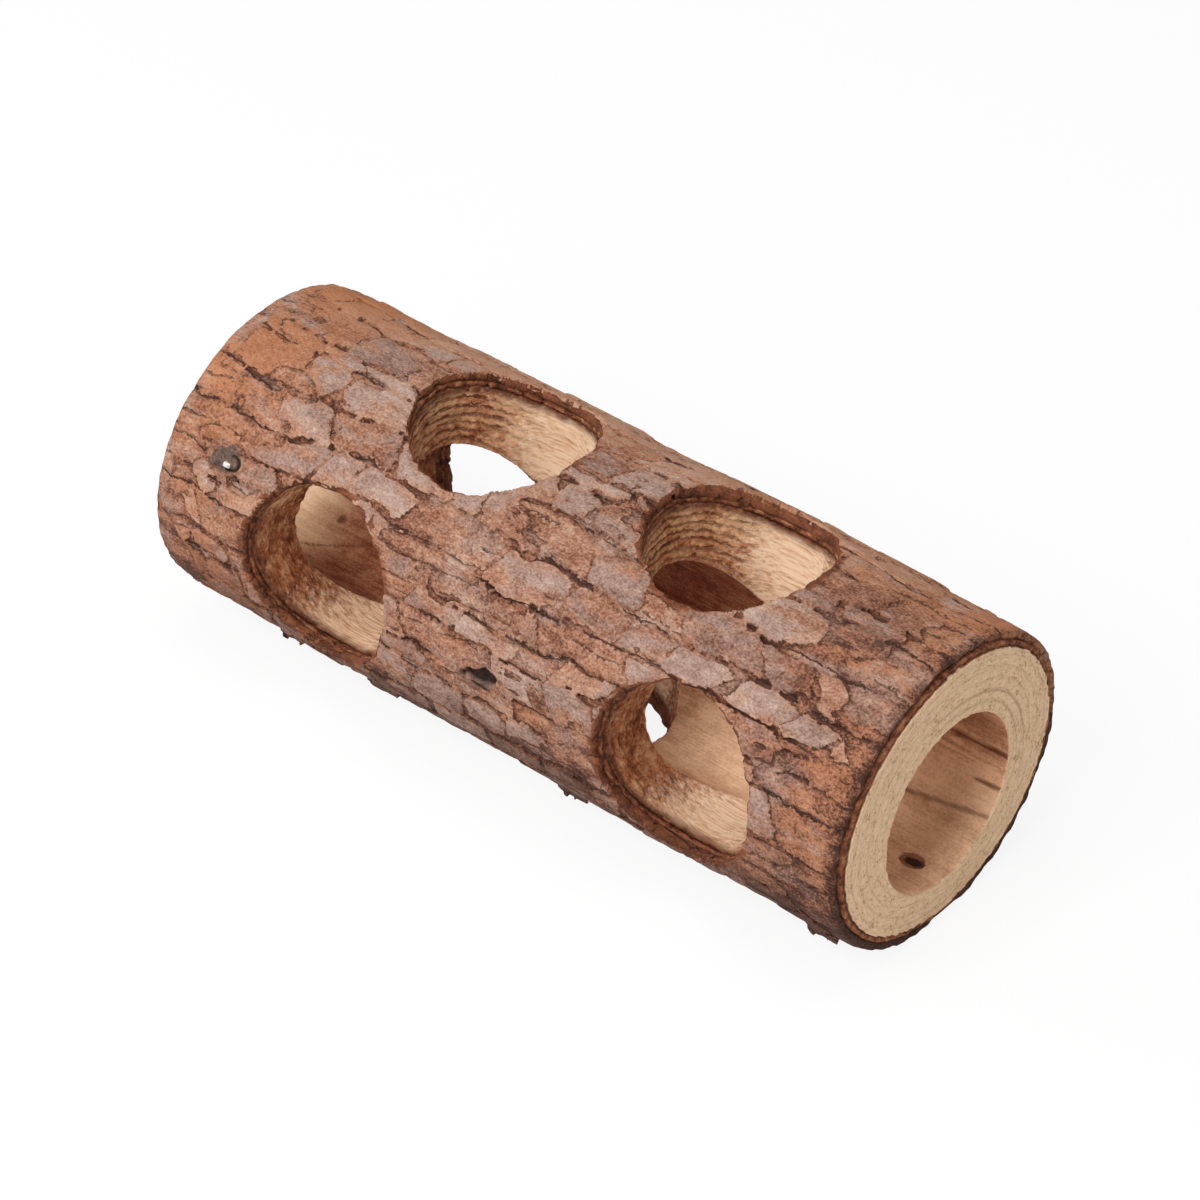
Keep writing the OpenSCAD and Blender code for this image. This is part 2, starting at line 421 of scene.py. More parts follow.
# Bark: the rough red-brown sheet under the plates
bark = {
    "step": 0.75,
    "thick": 2.0,
    "kept": 0.58,
    "end": 99.2,
    "leftLonger": 1.7,
    "longerFrom": 8,
    "endRagged": 0.2,
    "rightRagged": 0.2,
    "holeWider": 0.35,
    "holeRagged": 0.7,
    "holeSlack": 0.15,
    "furrowDeep": 0.55,
    "sunk": 0.25,
    "grains": 0.22,
    "fibres": 0.1,
    "chips": 0.4,
    "flakeLift": 0.38,
    "lift": 0.75,
    "lumps": 0.4,
    "taper": 0.45,
    "thinner": 0.6,
    "lowest": -1.5,
    "restHeight": 0.0,
    "crack": (72, 42, 32),
    "dark": (106, 67, 50),
    "redBrown": (143, 95, 73),
    "orangeBrown": (167, 119, 95),
    "paleBrown": (185, 146, 122),
    "mauve": (200, 171, 153),
    "lip": (150, 91, 62),
    "lipDark": (80, 42, 27),
    "orange": (188, 121, 78),
}
plateStrips = {
    "seed": 100, "columns": 30, "along": 15, "sway": 3.2, "waver": 1.3,
    "sideGap": 0.6, "tipGap": 0.5, "corner": 2.0, "ragged": 0.4,
}
flakeStrips = {
    "seed": 200, "columns": 52, "along": 7.0, "sway": 3.2, "waver": 0.9,
    "sideGap": 0.35, "tipGap": 0.4, "corner": 0.9, "ragged": 0.3,
}
# Branch scars: place along the log, turn in degrees, half length and half width
scars = [(-84, 56.3, 5.6, 4.2), (-1.8, 83.8, 6.4, 3.6)]


def scarGap(x, turn, places, scar):
    along, around = x - scar[0], (turn - math.radians(scar[1])) * barkRound
    away = np.hypot(along / scar[2], around / scar[3]) - 1
    return away * min(scar[2:]) + 1.1 * softNoise(places, 3.1, 68) + 0.5 * softNoise(places, 1.4, 69)


def lumpHeight(places):
    x, turn = places[:, 0], turnOf(places)
    lumps = bark["lumps"] * softNoise(places, 34, 31) + 0.25 * softNoise(places, 14, 32)
    taper = bark["taper"] * smoothStep(np.abs(x), 40, logHalf)
    thinner = bark["thinner"] * np.maximum(np.cos(turn + 0.82), 0) * smoothStep(-x, 10, 45)
    return bark["lift"] + lumps - taper - thinner


def endDrop(x, places):
    left = smoothStep(-x, logHalf - 3.5, logHalf)
    right = smoothStep(x, logHalf - 3.0, logHalf - 0.5)
    return 0.5 * left**2 + (0.5 + 0.2 * softNoise(places, 9, 41)) * right


def barkHeight(x, turn, places):
    big = barkStrips(x, turn, plateStrips)
    small = barkStrips(x, turn, flakeStrips)
    flakeTop = small["numbers"][0] * bark["flakeLift"] * smoothStep(small["inside"], -0.1, 0.5)
    ragged = big["side"] + 0.7 * roughNoise(places, 2.4, 29, 2)
    furrow = smoothStep(-ragged, -1.5, -0.3) * smoothStep(softNoise(places, (15, 6, 6), 27), -0.35, 0.25)
    grains = bark["grains"] * roughNoise(places, (3.0, 2.0, 2.0), 25, 3)
    fibres = bark["fibres"] * roughNoise(places, (7, 1.2, 1.2), 28, 2)
    lip = holeGap(places, holes["radius"] + bark["holeWider"])
    chipped = bark["chips"] * smoothStep(-lip, -2.0, 0) * (0.3 + 0.7 * softNoise(places, 4, 26))
    shallow = 1 - 0.7 * smoothStep(np.abs(x), 86, 98)
    flaky = flakeTop - bark["sunk"] - bark["furrowDeep"] * furrow + grains
    height = flaky * shallow + fibres - chipped
    height = height + lumpHeight(places) - endDrop(x, places)
    return np.maximum(height, bark["lowest"]), furrow, big, small


# Zones of the log where its bark is warmer, darker or paler: limits of x in mm and of turn in radians.
# Darker on the low side is painted shade, and paler up at the back is painted light, where that zone is
# also warmer in colour
zones = {
    "leftEnd": (55, 96),
    "leftFront": (0.5, 1.1),
    "rightEnd": (45, 85),
    "low": (1.5, 2.1),
    "backFrom": (0.05, 0.6),
    "backTo": (-1.9, -1.3),
}
# Tone shifts by zone: the low side is darkened as painted shade, the upper back lightened as painted light
zoneTones = [("rightEnd", -0.09), ("low", -0.32), ("upBack", 0.24)]


def writeZones(piece, x, turn):
    writeValues(
        piece,
        leftEnd=smoothStep(-x, *zones["leftEnd"]) * (1 - 0.5 * smoothStep(turn, *zones["leftFront"])),
        rightEnd=smoothStep(x, *zones["rightEnd"]),
        # painted shade: darker towards the bottom
        low=smoothStep(np.abs(turn), *zones["low"]),
        # painted light: paler up at the back, which is also warmer in colour
        upBack=smoothStep(-turn, *zones["backFrom"]) * smoothStep(turn, *zones["backTo"]),
    )


def barkSheet(name, step, half, end):
    sheet, flat = makeGrid(name, int(2 * end / step), int(2 * math.pi * half.mean() / step))
    x = flat[:, 0] * end
    x = x - bark["leftLonger"] * smoothStep(-x, end - bark["longerFrom"], end)
    movePoints(sheet, wrapRound(x, -flat[:, 1] * math.pi, 0, half))
    mergeDoubles(sheet)
    return sheet


# Slides the points next to an edge onto it, so that the cut follows the edge
def slideToEdge(x, turn, gap, step):
    slide = 0.05
    turnSlide = slide / barkRound
    alongSlope = (gap(x + slide, turn) - gap(x - slide, turn)) / (2 * slide)
    turnSlope = (gap(x, turn + turnSlide) - gap(x, turn - turnSlide)) / (2 * slide)
    here = gap(x, turn)
    steep = np.maximum(alongSlope**2 + turnSlope**2, 0.3)
    near = np.abs(here) < 0.55 * step
    x = np.where(near, x - here * alongSlope / steep, x)
    turn = np.where(near, turn - here * turnSlope / steep / barkRound, turn)
    return x, turn, np.where(near, 0, here)


def raggedHole(x, turn, half, wider):
    places = wrapRound(x, turn, 0, half)
    gap = holeGap(places, holes["radius"] + wider) + bark["holeRagged"] * roughNoise(places, 3.4, 51, 2)
    for scar in scars:
        gap = np.minimum(gap, scarGap(x, turn, places, scar))
    return gap


# Cuts the holes in a sheet, shapes its top and gives it a thickness down to a smooth inside
def finishSheet(sheet, step, half, wider, thick, shapeTop):
    places = readPoints(sheet)
    x, turn = places[:, 0], turnOf(places, half)
    x, turn, gap = slideToEdge(x, turn, lambda a, b: raggedHole(a, b, half, wider), step)
    movePoints(sheet, wrapRound(x, turn, 0, half))
    cutAway(sheet, gap)
    shapeTop(sheet)
    sheet.vertex_groups.new(name="inside")
    thicken(sheet, thick, shell_vertex_group="inside")
    weights = np.array([vertex.groups[0].weight if vertex.groups else 0 for vertex in sheet.data.vertices])
    inside = weights > 0.5
    places = readPoints(sheet)
    flatInside = wrapRound(places[:, 0], turnOf(places, half), 0.1, half - thick)
    places[inside] = flatInside[inside]
    movePoints(sheet, clearHoles(places, holes["radius"] + bark["holeSlack"]))
    print(sheet.name, "thinned from", countTriangles(sheet))
    applyModifier(sheet, "DECIMATE", ratio=bark["kept"], vertex_group="inside", vertex_group_factor=100)


def restOnFloor(piece, places):
    places[:, 2] = np.maximum(places[:, 2], bark["restHeight"])
    movePoints(piece, places)


def shapeOuterBark(sheet):
    places = readPoints(sheet)
    x, turn = places[:, 0], turnOf(places)
    height, furrow, big, small = barkHeight(x, turn, places)
    ends = (x > bark["end"] - 0.01) | (x < 0.01 - bark["end"] - bark["leftLonger"])
    x = x + np.where(ends, np.sign(x) * bark["endRagged"] * softNoise(places, 2.6, 52), 0)
    atRight = ends & (x > 0)
    x = x - np.where(atRight, bark["rightRagged"] * (0.5 + roughNoise(places, 2.2, 53, 3)), 0)
    restOnFloor(sheet, wrapRound(x, turn, height))
    writeZones(sheet, x, turn)
    writeValues(
        sheet,
        furrow=furrow,
        rim=smoothStep(x, bark["end"] - 3.5, bark["end"]),
        tone=small["numbers"][1],
        bigCrack=big["sideWave"],
        smallCrack=small["sideWave"],
        # Painted shadow: a thin dark band on the base bark just outside each plate's edge
        underPlate=smoothStep(plateGap(x, turn, -1000, 1000)[0], -0.9, -0.05),
        lip=smoothStep(-holeGap(places, holes["radius"]), -3.2, -0.4),
    )


# Plates: the grey flakes that lie on the bark, one by one
plates = {
    "step": 0.55,
    "end": 98,
    "rightEnd": 97.8,
    "leftEnd": 97,
    "margin": 12,
    "thick": 0.38,
    "layer": 0.12,
    "bumps": 0.12,
    "sink": 1.2,
    "swing": 3.0,
    "cover": 0.5,
    "missing": 0.14,
    "lobes": 1.3,
    "ragged": 0.5,
    "bareRight": 88,
    "bareLeft": 84,
    "holeBack": 0.3,
    "deep": (98, 68, 56),
    "shade": (134, 103, 90),
    "pink": (161, 130, 116),
    "grey": (180, 150, 136),
    "pale": (202, 176, 161),
    "crack": (70, 44, 36),
}


def plateGap(x, turn, turnFrom, turnTo):
    places = wrapRound(x, turn)
    big = barkStrips(x, turn, plateStrips)
    bare = 1.0 * smoothStep(x, plates["bareRight"] - 10, plates["bareRight"] + 8)
    bare = bare + 0.7 * smoothStep(-x, plates["bareLeft"], plates["bareLeft"] + 12)
    ragged = plates["ragged"] * roughNoise(places, 1.9, 63, 2)
    lobes = plates["lobes"] * softNoise(places, (5.5, 3.6, 3.6), 64) + ragged
    patch = plates["swing"] * (roughNoise(places, (26, 8, 8), 61, 2) + plates["cover"] - bare)
    gap = np.minimum(big["inside"] - np.maximum(lobes, -0.25), patch - 0.5 * lobes)
    gap = np.where(big["numbers"][0] < plates["missing"], np.minimum(gap, -0.8), gap)
    gap = np.minimum(gap, raggedHole(x, turn, barkHalf, bark["holeWider"]) - plates["holeBack"])
    gap = np.minimum(gap, plates["rightEnd"] - x + softNoise(places, 4, 65))
    gap = np.minimum(gap, x + plates["leftEnd"] + 1.5 * softNoise(places, 5, 66))
    stripTurn = (big["column"] + 0.5) * 360 / plateStrips["columns"]
    return np.where((stripTurn < turnFrom) | (stripTurn >= turnTo), -3.0, gap), big


# Dark ragged lines where a wave passes zero, broken up
def crackLine(look, wave, crumbs, grains, where, halfWide):
    jag = look.blend((crumbs, 1.1), (grains, 0.5))
    away = look.math("ABSOLUTE", look.math("ADD", wave, look.math("SUBTRACT", jag, 0.8)))
    away = look.blend((away, 1.0), (look.level(where, 0.46, 0.57), 5 * halfWide))
    return look.level(away, 0.4 * halfWide, 1.8 * halfWide)


def barkRamp(look, tone):
    dark = ((0.08, "crack"), (0.25, "dark"), (0.40, "redBrown"))
    return look.ramp(tone, bark, *dark, (0.55, "orangeBrown"), (0.72, "paleBrown"), (0.95, "mauve"))


def plateRamp(look, tone):
    dark = ((0.12, "deep"), (0.32, "shade"))
    return look.ramp(tone, plates, *dark, (0.50, "pink"), (0.68, "grey"), (0.92, "pale"))


# Two sizes of speckle that all the bark has
def barkSpeckles(look, crumbScale):
    return look.speckles(crumbScale, 5, 0.7), look.speckles((1300, 1700, 1700), 3, 0.7)


def barkRelief(look, crumbs, grains, distance, strength):
    return look.bump(grains, 0.0002, 0.9, look.bump(crumbs, distance, strength))


barkLook = Look("barkRedBrown", 0.92)
barkPatches = barkLook.speckles((55, 100, 100), 5, 0.6)
barkCrumbs, barkGrains = barkSpeckles(barkLook, (260, 420, 420))
warmth = barkLook.grain((60, 110, 110), 5, 0.6, (0.4, 0.2, 0.1))
greyWhere = barkLook.grain((50, 120, 120), 5, 0.65, (0.2, 0.5, 0.3))
crackWhere = barkLook.grain((80, 150, 150), 3, turn=(0.7, 0.1, 0.3))
barkTone = barkLook.blend(
    (barkPatches, 0.2),
    (barkCrumbs, 0.3),
    (barkGrains, 0.42),
    ("tone", 0.12),
    ("furrow", -0.14),
    # painted shadow around the plates
    ("underPlate", -0.24),
    ("rim", -0.22),
    *zoneTones,
)
barkColour = barkRamp(barkLook, barkTone)
warmMix = barkLook.blend(
    (barkLook.level(warmth, 0.5, 0.75), 1.0),
    ("leftEnd", 0.8),
    ("rightEnd", 0.8),
    ("upBack", 0.7),
)
warmMix = barkLook.times(warmMix, barkLook.level(barkTone, 0.2, 0.7))
barkColour = barkLook.mix(barkLook.times(warmMix, 0.55, True), barkColour, bark["orange"])
greyMix = barkLook.times(barkLook.level(greyWhere, 0.5, 0.6), 0.7)
barkColour = barkLook.mix(greyMix, barkColour, plateRamp(barkLook, barkTone))
lipMix = barkLook.blend(("lip", 1.3), (barkCrumbs, -0.5))
lipTone = barkLook.blend((barkCrumbs, 0.4), (barkGrains, 0.3), (barkPatches, 0.3))
lipColour = barkLook.ramp(lipTone, bark, (0.2, "lipDark"), (0.75, "lip"))
barkColour = barkLook.mix(barkLook.level(lipMix, 0.1, 0.65), barkColour, lipColour)
bigLine = crackLine(barkLook, "bigCrack", barkCrumbs, barkGrains, crackWhere, 0.25)
smallWhere = barkLook.math("SUBTRACT", 1.0, crackWhere)
smallLine = crackLine(barkLook, "smallCrack", barkCrumbs, barkGrains, smallWhere, 0.16)
crackMask = barkLook.times(bigLine, barkLook.math("MULTIPLY_ADD", smallLine, 0.7, third=0.3))
barkColour = barkLook.mix(crackMask, bark["crack"], barkColour)
barkNormal = barkRelief(barkLook, barkCrumbs, barkGrains, 0.0005, 0.7)
barkNormal = barkLook.bump(crackMask, 0.0005, 0.8, barkNormal)
barkMaterial = barkLook.done(barkColour, barkNormal)

outerBark = barkSheet("outerBark", bark["step"], barkHalf, bark["end"])
finishSheet(outerBark, bark["step"], barkHalf, bark["holeWider"], bark["thick"], shapeOuterBark)
finishPiece(outerBark, barkMaterial, ["outer_bark"])


# Inner bark: the fibrous red-brown layer, seen as a line at every cut edge
bast = {
    "step": 1.1,
    "thick": 1.2,
    "end": 99.6,
    "rightRagged": 0.3,
    "holeWider": 0.2,
    "pale": (190, 130, 90),
    "red": (146, 86, 56),
    "dark": (76, 40, 25),
}
bastHalf = barkHalf - bark["thick"]


def shapeInnerBark(sheet):
    places = readPoints(sheet)
    lift = 0.12 * roughNoise(places, 3, 55, 2)
    atRight = places[:, 0] > bast["end"] - 0.01
    x = places[:, 0] - atRight * bast["rightRagged"] * (0.5 + roughNoise(places, 2.2, 56, 3))
    movePoints(sheet, wrapRound(x, turnOf(places, bastHalf), lift, bastHalf))


bastLook = Look("innerBarkFibre", 0.9)
bastFibres = bastLook.grain((300, 700, 700), 6, 0.7)
bastMix = bastLook.blend((bastFibres, 0.5), (bastLook.speckles((330, 420, 420), 5, 0.7), 0.5))
bastColour = bastLook.ramp(bastMix, bast, (0.3, "dark"), (0.52, "red"), (0.75, "pale"))
bastMaterial = bastLook.done(bastColour, bastLook.bump(bastMix, 0.0012, 0.9))
innerBark = barkSheet("innerBark", bast["step"], bastHalf, bast["end"])
finishSheet(innerBark, bast["step"], bastHalf, bast["holeWider"], bast["thick"], shapeInnerBark)
finishPiece(innerBark, bastMaterial, ["inner_bark"])


def makePlates(name, turnFrom, turnTo):
    spread = math.radians(turnTo - turnFrom + 2 * plates["margin"])
    rows = int(spread * barkRound / plates["step"])
    piece, flat = makeGrid(name, int(2 * plates["end"] / plates["step"]), rows)
    x = flat[:, 0] * plates["end"]
    turn = math.radians((turnFrom + turnTo) / 2) - flat[:, 1] * spread / 2
    x, turn, gap = slideToEdge(x, turn, lambda a, b: plateGap(a, b, turnFrom, turnTo)[0], plates["step"])
    writeValues(piece, along=x, turn=turn, inside=gap)
    cutAway(piece, gap)
    x, turn, gap = readValues(piece, "along", "turn", "inside")
    places = wrapRound(x, turn)
    big = barkStrips(x, turn, plateStrips)
    tilt = (big["numbers"][2] - 0.5) * 0.05 * (turn - big["turn"]) * barkRound
    layer = smoothStep(softNoise(places, (7, 4, 4), 71), 0.05, 0.2)
    height = plates["thick"] * (0.3 + 0.8 * big["numbers"][1]) * (0.3 + 0.7 * smoothStep(gap, 0, 0.9))
    height = height + plates["layer"] * layer + np.clip(tilt, -0.15, 0.15)
    height = height + plates["bumps"] * roughNoise(places, (4, 1.6, 1.6), 72)
    height = height + lumpHeight(places) - 0.6 * endDrop(x, places)
    height = height - 0.2 * np.exp(-((big["tip"] / 0.4) ** 2))
    movePoints(piece, wrapRound(x, turn, height))
    writeZones(piece, x, turn)
    tone, brown = big["numbers"][2:]
    writeValues(piece, tone=tone, brown=brown, layer=layer, tipCrack=big["tipWave"], height=height)
    upperCount = len(piece.data.vertices)
    thicken(piece, plates["sink"])
    x, turn, height = readValues(piece, "along", "turn", "height")
    height[upperCount:] -= plates["sink"]
    restOnFloor(piece, wrapRound(x, turn, height))
    return piece


plateLook = Look("barkPlateGrey", 0.9)
platePatches = plateLook.speckles((70, 120, 120), 4, 0.6)
plateCrumbs, plateGrains = barkSpeckles(plateLook, (300, 460, 460))
plateWhere = plateLook.grain((60, 130, 130), 5, 0.65, (0.7, 0.1, 0.3))
plateTone = plateLook.blend(
    (platePatches, 0.16),
    (plateCrumbs, 0.26),
    (plateGrains, 0.38),
    ("tone", 0.2),
    ("layer", 0.06),
    *zoneTones,
)
plateColour = plateRamp(plateLook, plateTone)
underColour = barkRamp(plateLook, plateTone)
underWarm = plateLook.blend(("leftEnd", 0.5), ("upBack", 0.45))
underColour = plateLook.mix(underWarm, underColour, bark["orange"])
edgeMask = plateLook.blend(("inside", 1.0), (plateGrains, -0.7), (plateCrumbs, -0.6))
plateColour = plateLook.mix(plateLook.level(edgeMask, -0.8, 0.2), underColour, plateColour)
brownMask = plateLook.blend(
    (plateWhere, 1.0),
    ("brown", 0.16),
    ("leftEnd", 0.22),
    ("rightEnd", 0.12),
    ("upBack", 0.2),
)
plateColour = plateLook.mix(plateLook.level(brownMask, 0.57, 0.68), plateColour, underColour)
tipLine = crackLine(plateLook, "tipCrack", plateCrumbs, plateGrains, plateWhere, 0.14)
plateColour = plateLook.mix(tipLine, plates["crack"], plateColour)
plateNormal = barkRelief(plateLook, plateCrumbs, plateGrains, 0.0004, 0.7)
plateMaterial = plateLook.done(plateColour, plateNormal)

plateSides = [
    ("barkScalesTop", "bark_scales_top", -45, 45),
    ("barkScalesFront", "bark_scales_front", 45, 120),
    ("barkScalesBack", "bark_scales_back", -120, -45),
    ("barkScalesUnderside", "bark_scales_underside", 120, 240),
]
for plateName, plateNode, turnFrom, turnTo in plateSides:
    plateSide = makePlates(plateName, turnFrom, turnTo)
    finishPiece(plateSide, plateMaterial, [plateNode], 40)


# Wood: the sawn ends, the bore and the walls of the side holes
wood = {
    "voxel": 0.8,
    "most": 185000,
    "ringGap": 2.7,
    "tornGap": 2.3,
    "torn": 0.3,
    "fuzz": 0.55,
    "stain": 2.9,
    "hiddenFrom": 2.5,
    "sawn": (214, 177, 140),
    "sawnPale": (230, 198, 162),
    "sawnDark": (160, 114, 78),
    "bore": (234, 184, 144),
    "boreDark": (176, 122, 88),
    "grain": (255, 226, 194),
    "grainDark": (232, 188, 148),
    "grainLine": (186, 134, 94),
    # A lit copy of the bore colours, for painted light
    "borePale": (255, 224, 188),
    "boreTan": (234, 190, 150),
    "tornPale": (246, 198, 152),
    "tornMid": (188, 114, 71),
    "tornDark": (94, 39, 18),
    # A shaded copy of the bore colours, for painted shade
    "boreBrown": (142, 72, 40),
    "boreDeep": (108, 48, 24),
    "stainRed": (140, 84, 56),
    "stainDark": bast["dark"],
    "streak": (104, 50, 28),
    "arc": (138, 94, 62),
}
# Dark streaks in the bore: from x and turn in degrees, to x and turn, half width and strength
streaks = [
    (84, -95, 102, -93.4, 0.7, 1.0),
    (92.5, -117, 102, -115.2, 0.45, 0.9),
    (76, -142.5, 102, -132.8, 0.6, 0.6),
    (-89.4, 168, -75.9, 194, 0.4, 0.8),
]
# Brown spots in the bore: x, turn in degrees, radius and strength
boreSpots = [
    (-87, -160, 1.4, 0.9),
    (-79.3, 180, 0.8, 0.6),
    (-78.8, 163, 0.8, 0.6),
    (-67.6, 153.5, 0.9, 0.7),
]


def makeWood():
    piece = copyNode("woodTube", "wood_tube")
    applyModifier(piece, "REMESH", mode="VOXEL", voxel_size=wood["voxel"] * mm, adaptivity=0)
    places = readPoints(piece)
    fromBore = np.hypot(places[:, 1], places[:, 2] - boreHeight)
    oval = np.hypot(places[:, 1] / woodHalf[0], (places[:, 2] - ovalHeight) / woodHalf[1])
    gaps = np.stack(
        [
            logHalf - np.abs(places[:, 0]),
            fromBore - boreRadius,
            holeGap(places, holes["radius"]),
            (1 - oval) * woodRound,
        ],
        axis=1,
    )
    kind = np.abs(gaps).argmin(axis=1)
    close = np.abs(gaps).min(axis=1) < wood["voxel"]
    atEnd, atBore, atHole, atOutside = (close & (kind == k) for k in range(4))
    places[atEnd, 0] = np.sign(places[atEnd, 0]) * logHalf
    grow = boreRadius / fromBore
    places[atBore, 1] *= grow[atBore]
    places[atBore, 2] = boreHeight + (places[atBore, 2] - boreHeight) * grow[atBore]
    ring = oval * woodRound + 1.1 * softNoise(places, 12, 81) + 0.45 * softNoise(places, 4, 80)
    ringWave = np.cos(2 * math.pi * ring / wood["tornGap"])
    frames = [holeFrame(places, hole) for hole in holes["places"]]

    def fromWall(shift, across, outward):
        return np.where(outward > 0, np.abs(np.hypot(shift, across) - holes["radius"]), 100)

    owner = np.stack([fromWall(*holeAt) for holeAt in frames]).argmin(axis=0)
    facing = np.zeros(len(places))
    torn = roughNoise(places, 3.4, 82, 2)
    smooth = 0.08 * roughNoise(places, (7, 1.5, 1.5), 83, 2)
    ridges = np.maximum(ringWave, -0.4) * smoothStep(softNoise(places, 8, 87), -0.5, 0.2)
    for index, hole in enumerate(holes["places"]):
        shift, across, _ = frames[index]
        away = np.maximum(np.hypot(shift, across), 0.01)
        mine = atHole & (owner == index)
        endGrain = np.abs(shift / away)
        rough = smoothStep(endGrain, 0.25, 0.65)
        eaten = rough * (wood["torn"] * ridges + wood["fuzz"] * np.maximum(torn, -0.3)) + smooth
        grow = np.where(mine, (holes["radius"] + eaten) / away - 1, 0)
        facing = np.where(mine, endGrain, facing)
        moveFromHole(places, hole, shift, across, grow)
    longer = smoothStep(-places[:, 0], logHalf - bark["longerFrom"], logHalf)
    places[:, 0] -= bark["leftLonger"] * longer
    movePoints(piece, places)
    x = places[:, 0]
    skin = gaps[:, 3] + 0.5 * roughNoise(places, 2.5, 85, 2)
    stain = smoothStep(-skin, -wood["stain"], -0.3) * ~atEnd
    writeValues(piece, sawn=atEnd, bore=atBore, endGrain=facing * ~atEnd * ~atBore, stain=stain)
    boreTurn = np.degrees(np.arctan2(-places[:, 1], places[:, 2] - boreHeight))

    def boreArc(middle):
        return np.radians((boreTurn - middle + 180) % 360 - 180) * boreRadius

    dark = np.zeros(len(places))
    for firstX, firstTurn, lastX, lastTurn, halfWide, strength in streaks:
        share = (x - firstX) / (lastX - firstX)
        away = np.abs(boreArc(firstTurn + share * (lastTurn - firstTurn)))
        line = smoothStep(-away + 0.3 * softNoise(places, 2, 86), -1.6 * halfWide, -0.4 * halfWide)
        line = line * smoothStep(share, -0.1, 0.1) * smoothStep(-share, -1.1, -0.9)
        dark = np.maximum(dark, strength * line * atBore)
    for spotX, spotTurn, spotRadius, strength in boreSpots:
        away = np.hypot(x - spotX, boreArc(spotTurn))
        dark = np.maximum(dark, strength * nearTo(away, 0, 1.3 * spotRadius, 0.5 * spotRadius) * atBore)
    # Painted shade in the bore: darker brown on the back wall in the middle, deep in from the left end, and
    # on the roof near the right end, where little light reaches
    behind = nearTo(boreTurn, -70, 75, 40) * nearTo(x, 8, 42, 24)
    along = x + 3 * softNoise(places, (14, 3, 3), 88)
    leftDark = smoothStep(along, -97, -73) * smoothStep(-x, 25, 40)
    roof = nearTo(boreTurn, -60, 50, 20) * smoothStep(x, 60, 85)
    brown = np.maximum.reduce([behind, leftDark, 0.5 * roof])
    # Painted light in the bore: paler on its floor under the right top hole, on its lower half towards the
    # right end and near the left end, where light falls in
    floorLight = smoothStep(np.abs(boreTurn), 135, 165) * nearTo(x, 40, 26, 12)
    rightLight = smoothStep(x, 55, 80) * smoothStep(np.abs(boreTurn), 95, 130)
    leftLight = smoothStep(-along, 82, 94)
    pale = np.maximum.reduce([0.6 * floorLight, 0.45 * rightLight, leftLight])
    writeValues(piece, streak=dark, brownBore=brown * atBore, paleBore=pale * atBore)
    hidden = atOutside & (gaps[:, 2] > wood["hiddenFrom"]) & (gaps[:, 0] > wood["hiddenFrom"])
    group = piece.vertex_groups.new(name="hidden")
    group.add(np.flatnonzero(hidden).tolist(), 1.0, "ADD")
    print("wood before thinning", countTriangles(piece), "hidden share", hidden.mean())
    ratio = min(1, wood["most"] / countTriangles(piece))
    applyModifier(piece, "DECIMATE", ratio=ratio, vertex_group="hidden", vertex_group_factor=100)
    return piece


woodLook = Look("paleWood", 0.75)
_, placeY, placeZ = woodLook.split(woodLook.place)
wide = woodLook.math("DIVIDE", placeY, woodHalf[0] * mm)
high = woodLook.math("SUBTRACT", placeZ, ovalHeight * mm)
high = woodLook.math("DIVIDE", high, woodHalf[1] * mm)
squares = woodLook.math("ADD", woodLook.times(wide, wide), woodLook.times(high, high))
ringSize = woodLook.math("SQRT", squares)
waver = woodLook.grain((12, 45, 45), 3)
ringPlace = woodLook.times(ringSize, woodRound)
ringPlace = woodLook.math("ADD", ringPlace, woodLook.times(waver, 2.2))
ringPart = woodLook.math("FRACT", woodLook.math("DIVIDE", ringPlace, wood["ringGap"]))
longGrain = woodLook.grain((40, 1500, 1500), 6, 0.65)
broadGrain = woodLook.grain((12, 130, 130), 4)
flecks = woodLook.speckles((260, 1500, 1500), 3, 0.6)
fuzz = woodLook.speckles((600, 760, 760), 5, 0.75)
clumps = woodLook.speckles((210, 260, 260), 3, 0.6)
broadClumps = woodLook.speckles((110, 150, 150), 4, 0.7)
speckle = woodLook.speckles((1500, 1500, 1500), 3, 0.7)

# Sawn ends: short flecks that run round the log, faint rings and two dark arcs over the bore
roundY = woodLook.times(woodLook.math("DIVIDE", wide, ringSize), 15.0)
roundZ = woodLook.times(woodLook.math("DIVIDE", high, ringSize), 15.0)
roundPlace = woodLook.join(roundY, roundZ, woodLook.times(ringPlace, 1.5))
roundFlecks = woodLook.level(woodLook.noise(roundPlace, 3, 0.7), 0.36, 0.64)
sawnMix = woodLook.blend((roundFlecks, 0.42), (speckle, 0.4), (clumps, 0.18))
sawnColour = woodLook.ramp(sawnMix, wood, (0.14, "sawnDark"), (0.36, "sawn"), (0.8, "sawnPale"))
ringShade = woodLook.level(ringPart, 0.6, 1.0)
sawnColour = woodLook.mix(woodLook.times(ringShade, 0.25), sawnColour, wood["sawnDark"])
boreY = woodLook.times(placeY, 1 / mm)
boreZ = woodLook.times(woodLook.math("SUBTRACT", placeZ, boreHeight * mm), 1 / mm)
boreSquares = woodLook.math("MULTIPLY_ADD", boreY, boreY, third=woodLook.times(boreZ, boreZ))
fromBore = woodLook.math("MULTIPLY_ADD", waver, 1.4, third=woodLook.math("SQRT", boreSquares))
leaning = woodLook.math("MULTIPLY_ADD", boreY, 0.66, third=woodLook.times(boreZ, 0.75))
arcWhere = woodLook.level(woodLook.math("DIVIDE", leaning, fromBore), 0.35, 0.8)
for arcRadius, arcDark in ((28.2, 0.4), (25.6, 0.25)):
    arcGap = woodLook.math("ABSOLUTE", woodLook.math("SUBTRACT", fromBore, arcRadius))
    arcMask = woodLook.times(woodLook.level(arcGap, 0.55, 0.1), arcWhere)
    sawnColour = woodLook.mix(woodLook.times(arcMask, arcDark), sawnColour, wood["arc"])

